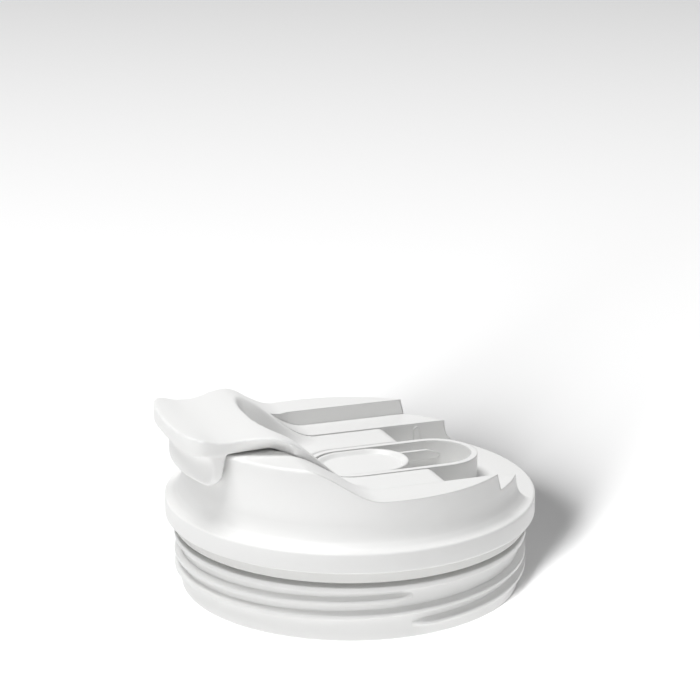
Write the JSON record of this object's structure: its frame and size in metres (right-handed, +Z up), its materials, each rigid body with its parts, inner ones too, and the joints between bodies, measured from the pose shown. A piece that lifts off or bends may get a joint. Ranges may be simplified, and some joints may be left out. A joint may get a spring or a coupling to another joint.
{
  "type": "tumbler lid",
  "caption": "Round screw-in tumbler lid with a flip lever over the drinking hole and a sliding cover over the straw hole.",
  "frame": {"origin": "on the lid's axis, at the plane of the skirt's bottom rim", "axes": "+Z up along the lid's axis, +X from the thumb plate towards the open end of the recess, Y along the lever's hinge"},
  "size_m": [0.0973, 0.096, 0.0484],
  "materials": {
    "moulded_white": "satin moulded polypropylene",
    "silicone_white": "matte translucent white silicone"
  },
  "bodies": {
    "lid": {"lid_body": "moulded_white", "gasket_ring": "silicone_white"},
    "lever": {"flip_lever": "moulded_white", "spout_plug": "silicone_white"},
    "slider": {"straw_slider": "moulded_white", "slider_seal": "silicone_white"}
  },
  "joints": [
    {"name": "lever_hinge", "type": "hinge", "parent": "lid", "child": "lever", "pos_m": [0.0161, 0, 0.028], "axis": [0, 1, 0], "range_deg": [0, 150]},
    {"name": "slider_slide", "type": "slide", "parent": "lid", "child": "slider", "axis": [1, 0, 0], "range_m": [0, 0.017]}
  ]
}
